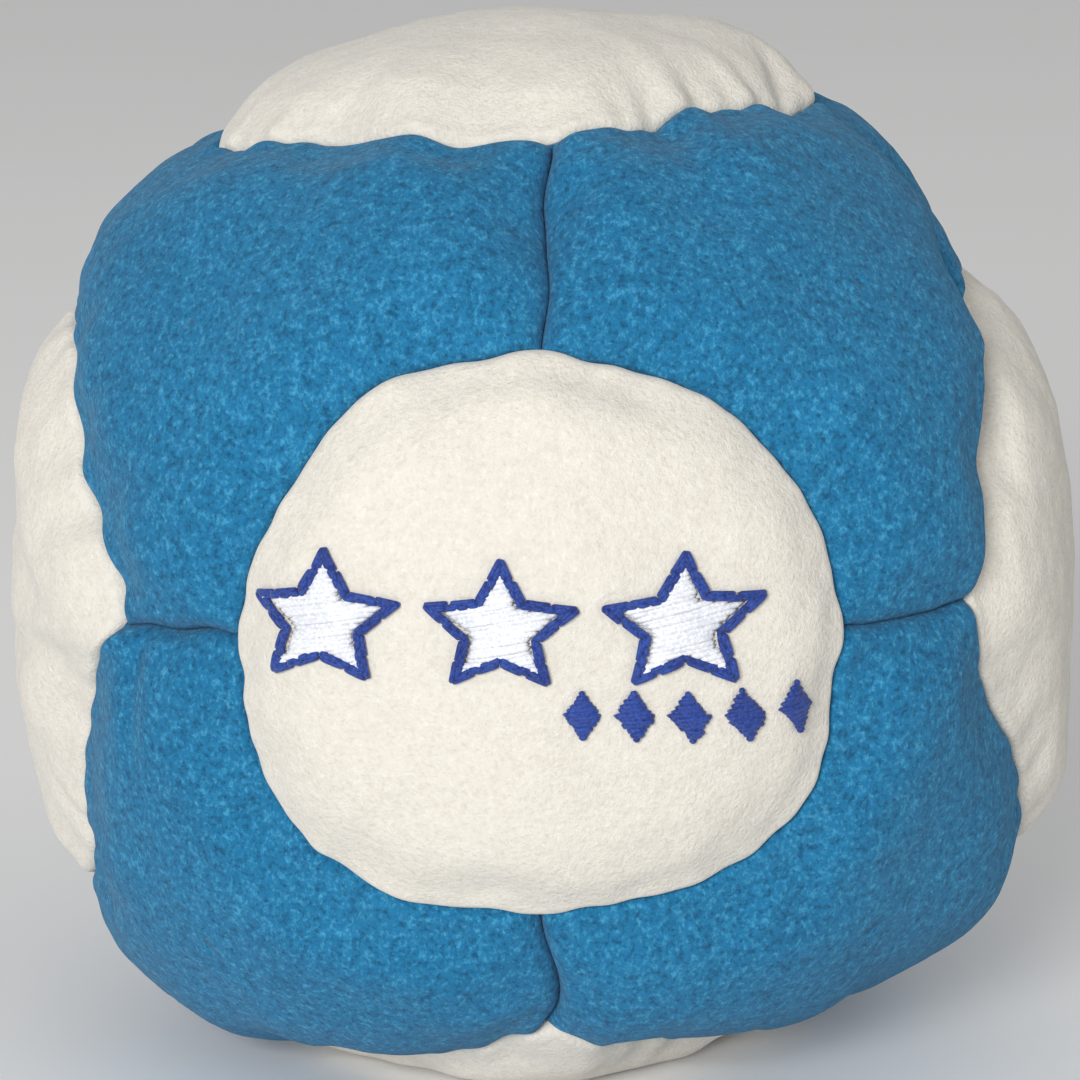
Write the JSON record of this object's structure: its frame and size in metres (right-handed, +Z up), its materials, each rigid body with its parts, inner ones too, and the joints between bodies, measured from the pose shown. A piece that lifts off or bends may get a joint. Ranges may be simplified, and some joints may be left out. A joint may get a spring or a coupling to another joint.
{
  "type": "juggling footbag",
  "caption": "Soft round bag of white and blue suede panels, filled with sand, for juggling and foot catches. It rests on a small flat under one round panel.",
  "frame": {"origin": "centre of the flat on which the bag rests, at the bottom of its box", "axes": "+Z up through the top round panel; the embroidered panel faces -Y, and -X is at the left of someone who looks at it"},
  "size_m": [0.0528, 0.0532, 0.0514],
  "materials": {
    "white_suede": "off-white synthetic suede, matt",
    "blue_suede": "blue synthetic suede, matt",
    "sewing_thread": "dark blue polyester thread",
    "sand": "dry fine sand",
    "backing": "tear-away embroidery backing",
    "white_embroidery": "white satin stitch",
    "navy_embroidery": "navy satin stitch"
  },
  "bodies": {
    "root": {"round_panel_front": "white_suede", "round_panel_back": "white_suede", "round_panel_left": "white_suede", "round_panel_right": "white_suede", "round_panel_top": "white_suede", "round_panel_bottom": "white_suede", "corner_panel_upper_front_left": "blue_suede", "corner_panel_upper_front_right": "blue_suede", "corner_panel_upper_back_left": "blue_suede", "corner_panel_upper_back_right": "blue_suede", "corner_panel_lower_front_left": "blue_suede", "corner_panel_lower_front_right": "blue_suede", "corner_panel_lower_back_left": "blue_suede", "corner_panel_lower_back_right": "blue_suede", "sand_fill": "sand", "ring_thread_front": "sewing_thread", "ring_thread_back": "sewing_thread", "ring_thread_left": "sewing_thread", "ring_thread_right": "sewing_thread", "ring_thread_top": "sewing_thread", "ring_thread_bottom": "sewing_thread", "edge_thread_top_front": "sewing_thread", "edge_thread_top_right": "sewing_thread", "edge_thread_top_back": "sewing_thread", "edge_thread_top_left": "sewing_thread", "edge_thread_bottom_front": "sewing_thread", "edge_thread_bottom_right": "sewing_thread", "edge_thread_bottom_back": "sewing_thread", "edge_thread_bottom_left": "sewing_thread", "edge_thread_front_left": "sewing_thread", "edge_thread_front_right": "sewing_thread", "edge_thread_back_left": "sewing_thread", "edge_thread_back_right": "sewing_thread", "closing_stitch": "sewing_thread", "closing_knot": "sewing_thread", "embroidery_backing": "backing", "embroidery_fill": "white_embroidery", "embroidery_outline": "navy_embroidery", "embroidery_diamonds": "navy_embroidery"}
  },
  "joints": []
}
